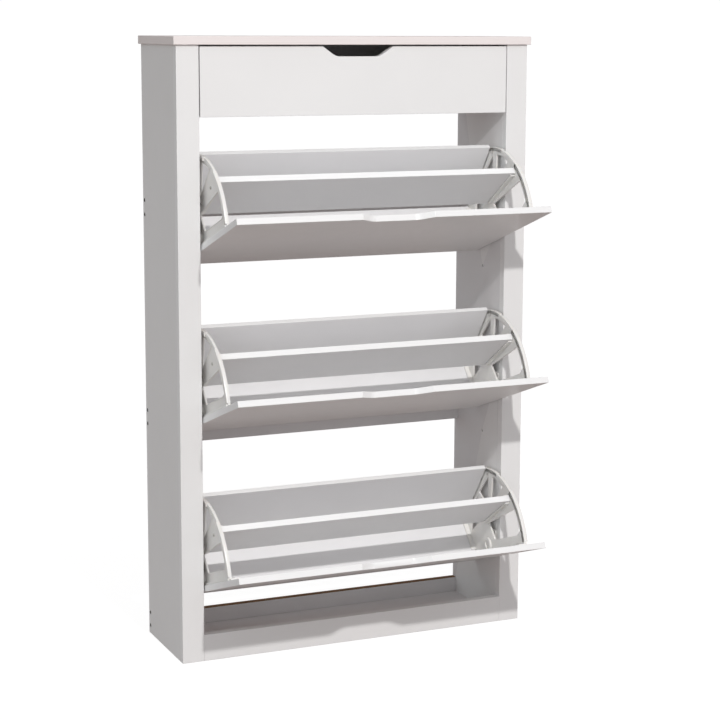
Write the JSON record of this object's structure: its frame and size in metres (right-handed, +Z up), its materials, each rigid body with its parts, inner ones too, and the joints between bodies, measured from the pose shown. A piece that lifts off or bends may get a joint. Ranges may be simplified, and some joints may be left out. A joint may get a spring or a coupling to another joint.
{
  "type": "shoe cabinet",
  "caption": "Tall slim shoe cabinet with hollow side walls, a hand-cut drawer under the top and tip-out flaps that stand open on plastic swing brackets.",
  "frame": {"origin": "on the floor, under the middle of the plinth board's thickness and half way across the cabinet", "axes": "+Z up, +X to the right seen from the front, +Y to the rear, so the front faces -Y"},
  "size_m": [0.742, 0.4095, 1.196],
  "materials": {
    "white_board": "satin white foil on board",
    "top_board": "satin warm white foil on board",
    "inner_board": "plain off-white melamine on board",
    "white_plastic": "satin moulded",
    "grey_plastic": "fine moulded grain",
    "runner_steel": "light powder coat"
  },
  "bodies": {
    "cabinet": {"top_panel": "top_board", "left_side_panel": "white_board", "left_front_stile": "white_board", "left_inner_panel": "inner_board", "left_rear_batten": "inner_board", "left_foot_batten": "inner_board", "right_side_panel": "white_board", "right_front_stile": "white_board", "right_inner_panel": "inner_board", "right_rear_batten": "inner_board", "right_foot_batten": "inner_board", "plinth_rail": "white_board", "bottom_board": "inner_board", "rear_bottom_rail": "inner_board", "rear_middle_rail": "inner_board", "rear_upper_rail": "inner_board", "rear_top_rail": "inner_board", "drawer_deck": "inner_board", "left_drawer_channel": "runner_steel", "right_drawer_channel": "runner_steel", "flap_1_left_pivot_plate": "grey_plastic", "flap_1_right_pivot_plate": "grey_plastic", "flap_2_left_pivot_plate": "grey_plastic", "flap_2_right_pivot_plate": "grey_plastic", "flap_3_left_pivot_plate": "grey_plastic", "flap_3_right_pivot_plate": "grey_plastic"},
    "drawer": {"drawer_front": "white_board", "drawer_left_side": "inner_board", "drawer_right_side": "inner_board", "drawer_left_runner": "runner_steel", "drawer_right_runner": "runner_steel", "drawer_back": "inner_board", "drawer_bottom": "inner_board"},
    "flap_1": {"flap_1_door": "white_board", "flap_1_divider": "inner_board", "flap_1_back_board": "inner_board", "flap_1_lower_board": "inner_board", "flap_1_left_bracket": "white_plastic", "flap_1_right_bracket": "white_plastic"},
    "flap_2": {"flap_2_door": "white_board", "flap_2_divider": "inner_board", "flap_2_back_board": "inner_board", "flap_2_lower_board": "inner_board", "flap_2_left_bracket": "white_plastic", "flap_2_right_bracket": "white_plastic"},
    "flap_3": {"flap_3_door": "white_board", "flap_3_divider": "inner_board", "flap_3_back_board": "inner_board", "flap_3_lower_board": "inner_board", "flap_3_left_bracket": "white_plastic", "flap_3_right_bracket": "white_plastic"}
  },
  "joints": [
    {"name": "flap_1_tip", "type": "hinge", "parent": "cabinet", "child": "flap_1", "pos_m": [0, 0.019, 0.158], "axis": [-1, 0, 0], "range_deg": [0, 71]},
    {"name": "flap_2_tip", "type": "hinge", "parent": "cabinet", "child": "flap_2", "pos_m": [0, 0.019, 0.488], "axis": [-1, 0, 0], "range_deg": [0, 71]},
    {"name": "flap_3_tip", "type": "hinge", "parent": "cabinet", "child": "flap_3", "pos_m": [0, 0.019, 0.818], "axis": [-1, 0, 0], "range_deg": [0, 71]},
    {"name": "drawer_slide", "type": "slide", "parent": "cabinet", "child": "drawer", "axis": [0, -1, 0], "range_m": [0, 0.12]}
  ]
}
